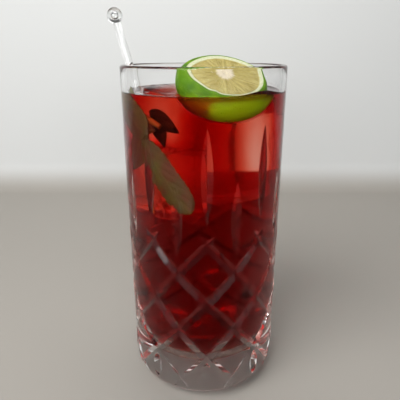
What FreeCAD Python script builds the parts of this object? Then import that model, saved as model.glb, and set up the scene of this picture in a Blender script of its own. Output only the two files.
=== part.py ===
"""Iced mint-and-lime drink in a cut-crystal highball: the glass, the drink, half a lime and a stirrer.

Millimetres, +Z up. The origin is the centre of the glass's flat foot. -Y is the front, where one
column of the cut diamonds stands, and -X is the side where the stirrer leans on the rim.
"""
import math
import os

import FreeCAD
import Part
import Sketcher
from FreeCAD import Placement, Rotation, Vector

DIMENSIONS = {
    # glass body
    "glass_height": 151.0,
    "rim_radius": 36.0,
    "base_radius": 35.6,
    "foot_round": 11.0,
    "rim_wall": 2.2,
    "lower_wall": 4.2,
    "floor_thickness": 12.0,
    "bowl_round": 27.0,
    "floor_round": 60.0,
    # diamond grid: V grooves that wind down the wall both ways round
    "column_count": 9,
    "pattern_turn": 2.2,
    "low_crossing": 10.7,
    "row_pitch": 14.1,
    "row_count": 6,
    "groove_depth": 1.25,
    "groove_angle": 120.0,
    "groove_overrun": 0.3,
    # leaf cuts: a V-edged wheel pressed upright into the wall; the tall one ends below a plain rim band
    "rim_band": 22.0,
    "tall_leaf_depth": 1.5,
    "tall_leaf_lift": 7.3,
    "short_leaf_length": 32.5,
    "short_leaf_depth": 1.4,
    "short_leaf_lift": 7.8,
    "foot_leaf_length": 16.0,
    "foot_leaf_depth": 1.6,
    "foot_leaf_height": 15.0,
    # drink
    "free_height": 11.3,
    # half lime, afloat with its cut face up and its front edge just above the drink
    "lime_radius": 18.7,
    "lime_face_radius": 16.2,
    "lime_shoulder": 5.0,
    "lime_depth": 16.2,
    "lime_nub_radius": 3.0,
    "lime_nub_height": 1.2,
    "lime_peel": 2.2,
    "lime_membrane": 1.0,
    "lime_core_radius": 1.8,
    "lime_pulp_drop": 0.5,
    "lime_segments": 10,
    "lime_freeboard": 0.2,
    "lime_right": 8.6,
    "lime_forward": 13.9,
    "lime_tilt": 26.0,
    "lime_roll": 8.0,
    # stirrer
    "rod_radius": 1.6,
    "ball_radius": 3.2,
    "stirrer_reach": 20.5,
    "stirrer_tip_offset": 4.0,
    "seat_gap": 0.25,
}
# how far the cutters stand proud of the wall, and the straight facets of a groove in one row pitch
CUTTER_PROUD = 2.5
FACETS_PER_PITCH = 2


# ---------------------------------------------------------------- document helpers

def make_sheet(doc):
    """The spreadsheet of driving dimensions: a name and a value in each row, with the name as alias."""
    sheet = doc.addObject("Spreadsheet::Sheet", "sizes")
    for row, (name, value) in enumerate(DIMENSIONS.items(), start=1):
        sheet.set(f"A{row}", name)
        sheet.set(f"B{row}", str(value))
        sheet.setAlias(f"B{row}", name)
    doc.recompute()
    return sheet


def origin_item(body, role):
    """The body's own origin plane or axis with this role."""
    return next(item for item in body.Origin.OriginFeatures if item.Role == role)


class Profile:
    """A sketch on one of its body's origin planes, drawn near its solved shape and held by constraints."""

    def __init__(self, body, name, plane):
        self.sketch = body.newObject("Sketcher::SketchObject", name)
        self.sketch.AttachmentSupport = [(origin_item(body, plane), "")]
        self.sketch.MapMode = "FlatFace"

    def line(self, start, end, is_guide=False):
        return self.sketch.addGeometry(Part.LineSegment(Vector(*start, 0), Vector(*end, 0)), is_guide)

    def arc(self, centre, radius, start_deg, end_deg):
        circle = Part.Circle(Vector(*centre, 0), Vector(0, 0, 1), radius)
        span = Part.ArcOfCircle(circle, math.radians(start_deg), math.radians(end_deg))
        return self.sketch.addGeometry(span, False)

    def hold(self, kind, *where):
        self.sketch.addConstraint(Sketcher.Constraint(kind, *where))

    def join(self, *pairs):
        """Makes points coincide, each pair given as (geometry, point, geometry, point)."""
        for pair in pairs:
            self.hold("Coincident", *pair)

    def size(self, kind, where, value, expression):
        """A dimension whose value follows the sheet."""
        index = self.sketch.addConstraint(Sketcher.Constraint(kind, *where, value))
        self.sketch.setExpression(f"Constraints[{index}]", expression)

    def across(self, geometry, point, value, expression):
        """The distance of a point to the right of the sketch's origin."""
        self.size("DistanceX", (-1, 1, geometry, point), value, expression)

    def up(self, geometry, point, value, expression):
        """The distance of a point above the sketch's origin."""
        self.size("DistanceY", (-1, 1, geometry, point), value, expression)


def revolve(body, profile, name):
    """Turns the profile a whole turn about its vertical axis."""
    feature = body.newObject("PartDesign::Revolution", name)
    feature.Profile = profile.sketch
    feature.ReferenceAxis = (profile.sketch, ["V_Axis"])
    feature.Angle = 360.0
    return feature


# ---------------------------------------------------------------- the glass's inside, shared with the drink

def cavity_arcs(size):
    """Centres of the bowl arc and of the floor arc, and the angle at which they meet."""
    bowl_x = size("base_radius") - size("lower_wall") - size("bowl_round")
    floor_up = size("floor_thickness") + size("floor_round")
    bowl_up = floor_up - math.sqrt((size("floor_round") - size("bowl_round")) ** 2 - bowl_x ** 2)
    meet = math.degrees(math.atan2(bowl_up - floor_up, bowl_x))
    return (bowl_x, bowl_up), (0.0, floor_up), meet


def draw_cavity(profile, size, wall_is_guide):
    """The wall line, bowl arc and floor arc of the inside; as a guide, the wall is only there to be met."""
    (bowl_x, bowl_up), (_, floor_up), meet = cavity_arcs(size)
    lip_in, lip_up = size("rim_radius") - size("rim_wall"), size("glass_height") - size("rim_wall") / 2
    wall = profile.line((lip_in, lip_up), (size("base_radius") - size("lower_wall"), bowl_up), wall_is_guide)
    bowl = profile.arc((bowl_x, bowl_up), size("bowl_round"), meet, 0)
    floor = profile.arc((0, floor_up), size("floor_round"), 270, 360 + meet)
    profile.join((wall, 2, bowl, 2))
    profile.hold("Horizontal", bowl, 3, bowl, 2)
    profile.hold("Tangent", floor, 2, bowl, 1)
    profile.hold("PointOnObject", floor, 3, -2)
    profile.hold("PointOnObject", floor, 1, -2)
    profile.size("Radius", (bowl,), size("bowl_round"), "sizes.bowl_round")
    profile.size("Radius", (floor,), size("floor_round"), "sizes.floor_round")
    profile.up(floor, 1, size("floor_thickness"), "sizes.floor_thickness")
    profile.across(bowl, 2, size("base_radius") - size("lower_wall"), "sizes.base_radius - sizes.lower_wall")
    profile.across(wall, 1, lip_in, "sizes.rim_radius - sizes.rim_wall")
    profile.up(wall, 1, lip_up, "sizes.glass_height - sizes.rim_wall / 2")
    return wall, bowl, floor


# ---------------------------------------------------------------- glass

def make_glass_blank(doc, size):
    """The uncut tumbler: outer wall, rounded foot, round lip, and the inside with its bowl-shaped bottom."""
    body = doc.addObject("PartDesign::Body", "glass_blank")
    profile = Profile(body, "wall_section", "XZ_Plane")
    height, rim, base = size("glass_height"), size("rim_radius"), size("base_radius")
    lip, foot = size("rim_wall") / 2, size("foot_round")

    foot_flat = profile.line((0, 0), (base - foot, 0))
    foot_arc = profile.arc((base - foot, foot), foot, 270, 360)
    outer = profile.line((base, foot), (rim, height - lip))
    lip_arc = profile.arc((rim - lip, height - lip), lip, 0, 180)
    wall, _, floor = draw_cavity(profile, size, wall_is_guide=False)
    axis = profile.line((0, size("floor_thickness")), (0, 0))

    profile.join((foot_flat, 2, foot_arc, 1), (foot_arc, 2, outer, 1), (outer, 2, lip_arc, 1),
                 (floor, 1, axis, 1), (axis, 2, foot_flat, 1), (foot_flat, 1, -1, 1))
    profile.hold("Horizontal", foot_flat)
    profile.hold("Vertical", foot_arc, 3, foot_arc, 1)
    profile.hold("Horizontal", foot_arc, 3, foot_arc, 2)
    profile.hold("Horizontal", lip_arc, 3, lip_arc, 1)
    profile.join((lip_arc, 2, wall, 1))
    profile.size("Radius", (foot_arc,), foot, "sizes.foot_round")
    profile.across(foot_arc, 2, base, "sizes.base_radius")
    profile.across(outer, 2, rim, "sizes.rim_radius")
    profile.up(outer, 2, height - lip, "sizes.glass_height - sizes.rim_wall / 2")
    revolve(body, profile, "turned_wall")
    return body


def outer_surface(size, up):
    """Radius of the uncut outside at a height, and its outward normal's dip below level, in radians."""
    base, foot = size("base_radius"), size("foot_round")
    if up >= foot:
        rise = (up - foot) / (size("glass_height") - size("rim_wall") / 2 - foot)
        return base + (size("rim_radius") - base) * rise, 0.0
    dip = math.asin((foot - up) / foot)
    return base - foot + foot * math.cos(dip), dip


def wall_point(radius, turn, up):
    """A point at this radius and height, turned in degrees from the front (-Y) towards +X."""
    angle = math.radians(turn)
    return Vector(radius * math.sin(angle), -radius * math.cos(angle), up)


def crossing_up(size, row):
    """Height of a row of crossings of the diamond grid, row 0 being the lowest."""
    return size("low_crossing") + size("row_pitch") * row


def groove_path(size):
    """(turn, height, depth) down one groove, from its upper tip to its lower tip."""
    half_column = 180.0 / size("column_count")
    last_row = int(size("row_count")) - 1
    steps = last_row * FACETS_PER_PITCH
    pitches = [step / FACETS_PER_PITCH for step in range(steps + 1)]
    over = size("groove_overrun")
    stations = [(-over, 0.0)] + [(t, size("groove_depth")) for t in pitches] + [(pitches[-1] + over, 0.0)]
    return [(half_column * t, crossing_up(size, last_row - t), depth) for t, depth in stations]


def groove_cutter(size, lean):
    """One groove of the diamond grid; lean is +1 or -1, the way it turns on its way down."""
    path = [(lean * turn, up, depth) for turn, up, depth in groove_path(size)]
    flare = math.tan(math.radians(size("groove_angle") / 2))
    centres = [wall_point(outer_surface(size, up)[0], turn, up) for turn, up, _ in path]
    wires = []
    for i, (turn, up, depth) in enumerate(path):
        dip = outer_surface(size, up)[1]
        outward = wall_point(math.cos(dip), turn, -math.sin(dip))
        along = centres[min(i + 1, len(path) - 1)] - centres[max(i - 1, 0)]
        side = along.cross(outward).normalize()
        apex = centres[i] - outward * depth
        reach = depth + CUTTER_PROUD
        left = apex + outward * reach - side * reach * flare
        right = apex + outward * reach + side * reach * flare
        wires.append(Part.makePolygon([apex, right, left, apex]))
    return Part.makeLoft(wires, True, True)


def leaf_cutter(size, low, length, depth):
    """The V-edged wheel that sinks a leaf of this length, from its low tip up, into the wall's front."""
    middle_up = low + length / 2
    wheel = length ** 2 / (8 * depth) + depth / 2
    reach = depth + CUTTER_PROUD
    spread = reach * math.tan(math.radians(size("groove_angle") / 2))
    # the wheel's axle lies along X at y = wheel, its edge is deepest at the origin, -y goes into the glass
    edge = Part.Face(Part.makePolygon([Vector(0, 0, 0), Vector(spread, reach, 0), Vector(-spread, reach, 0),
                                       Vector(0, 0, 0)]))
    axle = Vector(0, wheel, 0)
    half_turn = math.degrees(math.acos(1 - reach / wheel))
    edge.rotate(axle, Vector(1, 0, 0), -half_turn)
    cutter = edge.revolve(axle, Vector(1, 0, 0), 2 * half_turn)
    cutter.rotate(Vector(0, 0, 0), Vector(1, 0, 0), 180)
    cutter.translate(wall_point(outer_surface(size, middle_up)[0] - depth, 0, middle_up))
    return cutter


def turned(shape, degrees):
    """A copy of the shape, turned about the glass's axis."""
    copy = shape.copy()
    copy.rotate(Vector(0, 0, 0), Vector(0, 0, 1), degrees)
    return copy


def make_cut_pattern(doc, size):
    """Every cutter of the glass: both families of grooves and the three sizes of leaf."""
    column = 360.0 / size("column_count")
    rows = size("row_count")
    tall_low = crossing_up(size, rows - 1) + size("tall_leaf_lift")
    tall_length = size("glass_height") - size("rim_band") - tall_low
    short_low = crossing_up(size, rows - 2) + size("short_leaf_lift")
    foot_low = size("foot_leaf_height") - size("foot_leaf_length") / 2
    short_leaf = leaf_cutter(size, short_low, size("short_leaf_length"), size("short_leaf_depth"))
    one_column = [
        groove_cutter(size, 1),
        groove_cutter(size, -1),
        leaf_cutter(size, tall_low, tall_length, size("tall_leaf_depth")),
        turned(short_leaf, column / 2),
        leaf_cutter(size, foot_low, size("foot_leaf_length"), size("foot_leaf_depth")),
    ]
    turns = [size("pattern_turn") + column * i for i in range(int(size("column_count")))]
    pattern = doc.addObject("Part::Feature", "cut_pattern")
    pattern.Shape = Part.makeCompound([turned(cutter, turn) for turn in turns for cutter in one_column])
    return pattern


def make_glass(doc, size):
    glass = doc.addObject("Part::Cut", "glass")
    glass.Base = make_glass_blank(doc, size)
    glass.Tool = make_cut_pattern(doc, size)
    return glass


# ---------------------------------------------------------------- lime

def draw_peel(body, size):
    """Half the lime's outline about its own axis: cut face, shoulder, round underside and end nub."""
    profile = Profile(body, "peel_section", "XZ_Plane")
    face, widest, shoulder = size("lime_face_radius"), size("lime_radius"), size("lime_shoulder")
    depth, nub, nub_up = size("lime_depth"), size("lime_nub_radius"), size("lime_nub_height")
    # the shoulder arc is centred level with the widest place, and so is the larger arc of the underside
    bulge = widest - face
    shoulder_round = (shoulder ** 2 + bulge ** 2) / (2 * bulge)
    under_drop, under_in = depth - shoulder, widest - nub
    under_round = (under_drop ** 2 + under_in ** 2) / (2 * under_in)

    top = profile.line((0, 0), (face, 0))
    lift = math.degrees(math.asin(shoulder / shoulder_round))
    side = profile.arc((widest - shoulder_round, -shoulder), shoulder_round, 0, lift)
    fall = math.degrees(math.atan2(-under_drop, nub - (widest - under_round)))
    under = profile.arc((widest - under_round, -shoulder), under_round, fall, 0)
    tip_side = profile.line((nub, -depth), (nub, -depth - nub_up))
    tip = profile.line((nub, -depth - nub_up), (0, -depth - nub_up))
    axis = profile.line((0, -depth - nub_up), (0, 0))

    profile.join((top, 2, side, 2), (side, 1, under, 2), (under, 1, tip_side, 1), (tip_side, 2, tip, 1),
                 (tip, 2, axis, 1), (axis, 2, top, 1), (top, 1, -1, 1))
    profile.hold("Horizontal", top)
    profile.hold("Horizontal", side, 3, side, 1)
    profile.hold("Horizontal", under, 3, under, 2)
    profile.hold("Vertical", tip_side)
    profile.hold("Horizontal", tip)
    profile.hold("Vertical", axis)
    profile.across(top, 2, face, "sizes.lime_face_radius")
    profile.across(side, 1, widest, "sizes.lime_radius")
    profile.size("DistanceY", (side, 1, -1, 1), shoulder, "sizes.lime_shoulder")
    profile.across(under, 1, nub, "sizes.lime_nub_radius")
    profile.size("DistanceY", (under, 1, -1, 1), depth, "sizes.lime_depth")
    profile.size("DistanceY", (tip_side, 2, tip_side, 1), nub_up, "sizes.lime_nub_height")
    return profile


def draw_pulp(body, size):
    """One segment's pulp, about the sketch's X axis: two membrane sides, the peel's and the core's arc."""
    profile = Profile(body, "pulp_section", "XY_Plane")
    outer, inner = size("lime_face_radius") - size("lime_peel"), size("lime_core_radius")
    half, membrane = 180.0 / size("lime_segments"), size("lime_membrane")
    outer_lean = half - math.degrees(math.asin(membrane / 2 / outer))
    inner_lean = half - math.degrees(math.asin(membrane / 2 / inner))

    def at(radius, lean):
        return radius * math.cos(math.radians(lean)), radius * math.sin(math.radians(lean))

    rim = profile.arc((0, 0), outer, -outer_lean, outer_lean)
    core = profile.arc((0, 0), inner, -inner_lean, inner_lean)
    left = profile.line(at(inner, inner_lean), at(outer, outer_lean))
    right = profile.line(at(outer, -outer_lean), at(inner, -inner_lean))
    profile.join((left, 2, rim, 2), (rim, 1, right, 1), (right, 2, core, 1), (core, 2, left, 1))
    profile.join((rim, 3, -1, 1), (core, 3, -1, 1))
    profile.hold("Symmetric", rim, 1, rim, 2, -1)
    profile.hold("Symmetric", core, 1, core, 2, -1)
    profile.size("Radius", (rim,), outer, "sizes.lime_face_radius - sizes.lime_peel")
    profile.size("Radius", (core,), inner, "sizes.lime_core_radius")
    profile.size("DistanceY", (rim, 1, rim, 2), 2 * at(outer, outer_lean)[1],
                 "2 * (sizes.lime_face_radius - sizes.lime_peel) * sin(180deg / sizes.lime_segments - asin("
                 "sizes.lime_membrane / 2 / (sizes.lime_face_radius - sizes.lime_peel)))")
    profile.size("DistanceY", (core, 1, core, 2), 2 * at(inner, inner_lean)[1],
                 "2 * sizes.lime_core_radius * sin(180deg / sizes.lime_segments - asin("
                 "sizes.lime_membrane / 2 / sizes.lime_core_radius))")
    return profile


def make_lime(doc, size):
    """Half a lime: peel turned about its axis, and one shallow pulp pocket patterned round the core."""
    body = doc.addObject("PartDesign::Body", "lime")
    revolve(body, draw_peel(body, size), "turned_peel")
    doc.recompute()
    pulp = body.newObject("PartDesign::Pocket", "pulp")
    pulp.Profile = draw_pulp(body, size).sketch
    pulp.setExpression("Length", "sizes.lime_pulp_drop")
    doc.recompute()
    segments = body.newObject("PartDesign::PolarPattern", "segments")
    segments.Originals = [pulp]
    segments.Axis = (origin_item(body, "Z_Axis"), [""])
    segments.Angle = 360.0
    segments.setExpression("Occurrences", "sizes.lime_segments")
    body.Tip = segments
    body.Placement = lime_pose(size)
    return body


def lime_pose(size):
    """Afloat: rolled towards +X, tilted towards the front, with the low edge of its face above the drink."""
    lean = Rotation(Vector(1, 0, 0), size("lime_tilt")) * Rotation(Vector(0, 1, 0), size("lime_roll"))
    upright = lean.multVec(Vector(0, 0, 1)).z
    edge_drop = size("lime_face_radius") * math.sqrt(1 - upright ** 2)
    level = size("glass_height") - size("free_height")
    centre_up = level + size("lime_freeboard") + edge_drop
    return Placement(Vector(size("lime_right"), -size("lime_forward"), centre_up), lean)


# ---------------------------------------------------------------- stirrer

# The tip stands on the floor's arc and the rod lies on the round lip at -X, each a seat gap away. TIP_UP is
# the height of the tip's centre; RUN and RISE lead from there to the middle of the lip.
TIP_UP = ("(sizes.floor_thickness + sizes.floor_round - sqrt((sizes.floor_round - sizes.rod_radius"
          " - sizes.seat_gap)^2 - sizes.stirrer_tip_offset^2))")
RUN = "(sizes.stirrer_tip_offset + sizes.rim_radius - sizes.rim_wall / 2)"
RISE = f"(sizes.glass_height - sizes.rim_wall / 2 - {TIP_UP})"
SEAT = "(sizes.rod_radius + sizes.seat_gap + sizes.rim_wall / 2)"
# the rod's length from the tip's centre to the ball's, and its lean from upright
ROD_LENGTH = f"sqrt({RUN}^2 + {RISE}^2 - {SEAT}^2) + sizes.stirrer_reach"
ROD_LEAN = f"atan({RUN} / {RISE}) - asin({SEAT} / sqrt({RUN}^2 + {RISE}^2))"


def make_stirrer(doc, size):
    """A straight rod with a round tip and a ball on top, turned in one piece."""
    body = doc.addObject("PartDesign::Body", "stirrer")
    profile = Profile(body, "rod_section", "XZ_Plane")
    rod, ball, length = size("rod_radius"), size("ball_radius"), size("glass_height")
    neck = math.degrees(math.asin(rod / ball))

    tip = profile.arc((0, 0), rod, 270, 360)
    side = profile.line((rod, 0), (rod, length - ball * math.cos(math.radians(neck))))
    knob = profile.arc((0, length), ball, neck - 90, 90)
    axis = profile.line((0, length + ball), (0, -rod))
    profile.join((tip, 2, side, 1), (side, 2, knob, 1), (knob, 2, axis, 1), (axis, 2, tip, 1))
    profile.join((tip, 3, -1, 1))
    profile.hold("PointOnObject", knob, 3, -2)
    profile.hold("Vertical", axis)
    profile.hold("PointOnObject", axis, 1, -2)
    profile.hold("Vertical", side)
    profile.hold("PointOnObject", side, 1, -1)
    profile.size("Radius", (tip,), rod, "sizes.rod_radius")
    profile.size("Radius", (knob,), ball, "sizes.ball_radius")
    profile.up(knob, 3, length, ROD_LENGTH)
    revolve(body, profile, "turned_rod")
    body.Placement = Placement(Vector(0, 0, 0), Rotation(Vector(0, -1, 0), 1))
    body.setExpression("Placement.Base.x", "sizes.stirrer_tip_offset * 1mm")
    body.setExpression("Placement.Base.z", f"{TIP_UP} * 1mm")
    body.setExpression("Placement.Rotation.Angle", ROD_LEAN)
    return body


# ---------------------------------------------------------------- drink

def make_drink(doc, size, lime, stirrer):
    """The drink fills the inside up to its level and closes round the lime and the stirrer."""
    body = doc.addObject("PartDesign::Body", "filling")
    profile = Profile(body, "filling_section", "XZ_Plane")
    level = size("glass_height") - size("free_height")
    bowl_end = size("base_radius") - size("lower_wall")
    (_, bowl_up), _, _ = cavity_arcs(size)
    wall, bowl, floor = draw_cavity(profile, size, wall_is_guide=True)
    side = profile.line((bowl_end, bowl_up), (size("rim_radius") - size("rim_wall"), level))
    surface = profile.line((size("rim_radius") - size("rim_wall"), level), (0, level))
    axis = profile.line((0, level), (0, size("floor_thickness")))
    profile.join((bowl, 2, side, 1), (side, 2, surface, 1), (surface, 2, axis, 1), (axis, 2, floor, 1))
    profile.hold("PointOnObject", side, 2, wall)
    profile.hold("PointOnObject", surface, 2, -2)
    profile.hold("Horizontal", surface)
    profile.up(side, 2, level, "sizes.glass_height - sizes.free_height")
    revolve(body, profile, "turned_filling")

    afloat = doc.addObject("Part::Fuse", "afloat")
    afloat.Base = lime
    afloat.Tool = stirrer
    drink = doc.addObject("Part::Cut", "drink")
    drink.Base = body
    drink.Tool = afloat
    return drink


# ---------------------------------------------------------------- build and write

def check(doc, nodes):
    """Stops on a failed object or on a node that isn't one valid solid."""
    for item in doc.Objects:
        if {"Invalid", "Error"} & set(item.State):
            raise RuntimeError(f"{item.Name} failed: {item.State}")
    for node in nodes:
        shape = node.Shape
        if shape.isNull() or not shape.isValid() or len(shape.Solids) != 1:
            raise RuntimeError(f"{node.Label} isn't one valid solid")


def main():
    doc = FreeCAD.newDocument("iced_drink")
    sheet = make_sheet(doc)

    def size(name):
        return float(sheet.get(name))

    glass = make_glass(doc, size)
    lime = make_lime(doc, size)
    stirrer = make_stirrer(doc, size)
    drink = make_drink(doc, size, lime, stirrer)
    doc.recompute()
    nodes = [glass, drink, lime, stirrer]
    check(doc, nodes)
    os.makedirs("parts", exist_ok=True)
    for node in nodes:
        node.Shape.exportStep(f"parts/{node.Label}.step")
        print(node.Label, round(node.Shape.Volume), node.Shape.BoundBox)


main()
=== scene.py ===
"""Looks of the iced mint-and-lime drink: cut glass, red drink with ice and mint, half lime and stirrer.

Every shape is worked out in millimetres in the CAD frame (+Z up, the centre of the glass's foot at 0, 0, 0)
and turned into metres when its mesh is made.
"""
import math

import bmesh
import bpy
from mathutils import Matrix, Vector, noise


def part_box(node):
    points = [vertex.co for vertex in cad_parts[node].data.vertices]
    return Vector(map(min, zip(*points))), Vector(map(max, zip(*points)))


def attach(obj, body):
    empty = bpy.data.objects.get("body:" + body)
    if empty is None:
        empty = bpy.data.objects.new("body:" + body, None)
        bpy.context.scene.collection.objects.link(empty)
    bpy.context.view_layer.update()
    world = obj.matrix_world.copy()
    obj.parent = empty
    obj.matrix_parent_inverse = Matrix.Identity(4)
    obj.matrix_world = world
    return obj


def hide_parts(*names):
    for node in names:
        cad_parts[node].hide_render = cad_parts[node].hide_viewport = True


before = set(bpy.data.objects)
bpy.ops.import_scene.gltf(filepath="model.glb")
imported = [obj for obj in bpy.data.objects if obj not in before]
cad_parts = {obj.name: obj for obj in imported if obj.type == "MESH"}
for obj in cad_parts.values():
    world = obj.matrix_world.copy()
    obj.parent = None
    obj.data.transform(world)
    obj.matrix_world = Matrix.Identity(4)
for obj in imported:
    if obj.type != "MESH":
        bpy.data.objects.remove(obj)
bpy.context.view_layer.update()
MM = 0.001

# ---------------------------------------------------------------- sizes read from the frame
glass_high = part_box("glass")[1] / MM
drink_low, drink_high = (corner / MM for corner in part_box("drink"))
rod_low, rod_high = (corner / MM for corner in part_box("stirrer"))
GLASS_HEIGHT, RIM_RADIUS = glass_high.z, glass_high.x
FLOOR_UP, LEVEL = drink_low.z, drink_high.z

# ---------------------------------------------------------------- the glass's own sizes
BASE_RADIUS, FOOT_ROUND = 35.6, 11.0
RIM_WALL, LOWER_WALL = 2.2, 4.2
BOWL_ROUND, FLOOR_ROUND = 27.0, 60.0
LIP = RIM_WALL / 2
COLUMNS = 9
COLUMN_TURN = 360.0 / COLUMNS
PATTERN_TURN = 2.2
TOP_CROSSING, ROW_PITCH, ROWS = 81.2, 14.1, 6
GROOVE_DEPTH, GROOVE_OVERRUN = 1.25, 0.3
FLARE = math.tan(math.radians(60.0))
# name: length, depth, height of the middle, turn from the column's middle
LEAF_CUTS = {
    "tall": (40.5, 1.5, 108.75, 0.0),
    "short": (32.5, 1.4, 91.15, COLUMN_TURN / 2),
    "foot": (16.0, 1.6, 15.0, 0.0),
}
CUTTER_PROUD = 2.5
SIDES = 360
# which faces are the inside, a cut or the foot: how far each test reaches past the plain outline
FLOOR_SAG, INSIDE_SLACK, CUT_AT_LEAST, UNDERSIDE_TO = 0.5, 0.1, 0.04, 0.1
FOOT_CUTS_TO = FLOOR_UP + 8

# ---------------------------------------------------------------- optics
# Light meets each boundary once. The glass has four finishes: against air, against the drink, its cuts, and
# the cuts of its foot. The drink's own sides only start and end its colour, and reach into the wall; a thin
# film is its surface.
AIR_TO_GLASS, AIR_TO_WATER, AIR_TO_ICE = 1.5, 1.33, 1.31
WATER_TO_GLASS = AIR_TO_GLASS / AIR_TO_WATER
WATER_TO_ICE = 1.02
NO_BEND = 1.0
WALL_REACH = 0.15
FILM_DEPTH, COLOUR_BELOW_FILM = 0.5, 0.02
FILM_TOP_FACES = 0.4
MENISCUS_RISE, MENISCUS_WIDTH = 0.7, 1.5
WET_TOP = LEVEL + MENISCUS_RISE
# where the lime comes near the wall, turned from the front, the drink is drawn up between them
LIME_SIDE, LIME_PULL = 42.0, 1.7


# ---------------------------------------------------------------- mesh helpers

def arc(across, up, radius, start, end, steps):
    """Points of an arc in a section, angles in degrees, both ends included."""
    angles = [math.radians(start + (end - start) * i / steps) for i in range(steps + 1)]
    return [(across + radius * math.cos(a), up + radius * math.sin(a)) for a in angles]


def line(start, end, steps):
    """Points of a straight run in a section, without its first point."""
    return [tuple(s + (e - s) * i / steps for s, e in zip(start, end)) for i in range(1, steps + 1)]


def lathe(profile, sides=SIDES, lift=None):
    """Points and faces of a profile turned about Z; its first and last points lie on the axis.

    lift is a function of angle, radius and height that says how much higher a point lies.
    """
    points = [Vector((0, 0, profile[0][1]))]
    for r, up in profile[1:-1]:
        for i in range(sides):
            angle = 2 * math.pi * i / sides
            rise = lift(angle, r, up) if lift else 0.0
            points.append(Vector((r * math.cos(angle), r * math.sin(angle), up + rise)))
    points.append(Vector((0, 0, profile[-1][1])))
    rings = len(profile) - 2
    last = len(points) - 1
    faces = [(0, 1 + (i + 1) % sides, 1 + i) for i in range(sides)]
    for ring in range(rings - 1):
        a, b = 1 + ring * sides, 1 + (ring + 1) * sides
        faces += [(a + i, a + (i + 1) % sides, b + (i + 1) % sides, b + i) for i in range(sides)]
    top = 1 + (rings - 1) * sides
    faces += [(top + i, top + (i + 1) % sides, last) for i in range(sides)]
    return points, faces


def tube_of_sections(sections):
    """Points and faces of a closed chain through sections that all have the same number of corners."""
    corners = len(sections[0])
    points = [corner for section in sections for corner in section]
    faces = [tuple(range(corners)), tuple(reversed(range(len(points) - corners, len(points))))]
    for s in range(len(sections) - 1):
        a, b = s * corners, (s + 1) * corners
        faces += [(a + i, b + i, b + (i + 1) % corners, a + (i + 1) % corners) for i in range(corners)]
    return points, faces


def join_shapes(shapes):
    """Several (points, faces) as one."""
    points, faces = [], []
    for some_points, some_faces in shapes:
        start = len(points)
        points += some_points
        faces += [tuple(start + i for i in face) for face in some_faces]
    return points, faces


def spun(shape, degrees):
    """The same points and faces, turned about Z."""
    turn = Matrix.Rotation(math.radians(degrees), 3, "Z")
    return [turn @ p for p in shape[0]], shape[1]


def make_object(name, shape, sharp_degrees=30.0):
    """A mesh object in metres from points in millimetres, outward facing and smooth except at sharp edges."""
    mesh = bpy.data.meshes.new(name)
    mesh.from_pydata([p * MM for p in shape[0]], [], shape[1])
    bm = bmesh.new()
    bm.from_mesh(mesh)
    bmesh.ops.recalc_face_normals(bm, faces=bm.faces)
    bm.to_mesh(mesh)
    bm.free()
    mesh.shade_smooth()
    mesh.set_sharp_from_angle(angle=math.radians(sharp_degrees))
    obj = bpy.data.objects.new(name, mesh)
    bpy.context.scene.collection.objects.link(obj)
    return obj


def applied(obj):
    """Replaces an object's mesh by the mesh that its modifiers make."""
    made = obj.evaluated_get(bpy.context.evaluated_depsgraph_get())
    mesh = bpy.data.meshes.new_from_object(made)
    obj.modifiers.clear()
    old = obj.data
    obj.data = mesh
    bpy.data.meshes.remove(old)


def combine(obj, cutter, operation="DIFFERENCE"):
    """Cuts another closed object out of an object, or keeps only what is in both."""
    cut = obj.modifiers.new("cut", "BOOLEAN")
    cut.operation = operation
    cut.solver = "MANIFOLD"
    cut.object = cutter
    applied(obj)


def discard(obj):
    mesh = obj.data
    bpy.data.objects.remove(obj)
    bpy.data.meshes.remove(mesh)


def cut_away(obj, shape, operation="DIFFERENCE"):
    """Cuts a closed shape, in millimetres, out of an object, or keeps only what is inside it."""
    cutter = make_object("cutter", shape)
    combine(obj, cutter, operation)
    discard(cutter)


# ---------------------------------------------------------------- glass

def cavity(top, grow=0.0):
    """The inside of the glass, from its floor on the axis up the wall to a height, grown into the glass."""
    bowl_across = BASE_RADIUS - LOWER_WALL - BOWL_ROUND
    floor_centre = FLOOR_UP + FLOOR_ROUND
    bowl_up = floor_centre - math.sqrt((FLOOR_ROUND - BOWL_ROUND) ** 2 - bowl_across ** 2)
    meet = math.degrees(math.atan2(bowl_up - floor_centre, bowl_across))
    points = arc(0, floor_centre, FLOOR_ROUND + grow, 270, 360 + meet, 8)
    points += arc(bowl_across, bowl_up, BOWL_ROUND + grow, meet, 0, 36)[1:]
    lip_up = GLASS_HEIGHT - LIP
    rise = (top - bowl_up) / (lip_up - bowl_up)
    bowl_end = BASE_RADIUS - LOWER_WALL + grow
    wall_end = bowl_end + (RIM_RADIUS - RIM_WALL + grow - bowl_end) * rise
    return points + line((bowl_end, bowl_up), (wall_end, top), 36)


INSIDE = cavity(GLASS_HEIGHT - LIP)


def inner_radius(up):
    """Radius of the inside at a height, its rounded bottom included."""
    points = INSIDE
    for (r0, z0), (r1, z1) in zip(points, points[1:]):
        if z0 <= up <= z1:
            return r0 + (r1 - r0) * (up - z0) / (z1 - z0)
    return points[-1][0]


def wall_radius(up):
    """Radius of the uncut outside at a height, and its outward normal's dip below level, in radians."""
    if up >= FOOT_ROUND:
        rise = (up - FOOT_ROUND) / (GLASS_HEIGHT - LIP - FOOT_ROUND)
        return BASE_RADIUS + (RIM_RADIUS - BASE_RADIUS) * rise, 0.0
    dip = math.asin((FOOT_ROUND - up) / FOOT_ROUND)
    return BASE_RADIUS - FOOT_ROUND + FOOT_ROUND * math.cos(dip), dip


def at_turn(radius, turn, up):
    """A point at this radius and height, turned in degrees from the front (-Y) towards +X."""
    angle = math.radians(turn)
    return Vector((radius * math.sin(angle), -radius * math.cos(angle), up))


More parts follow.
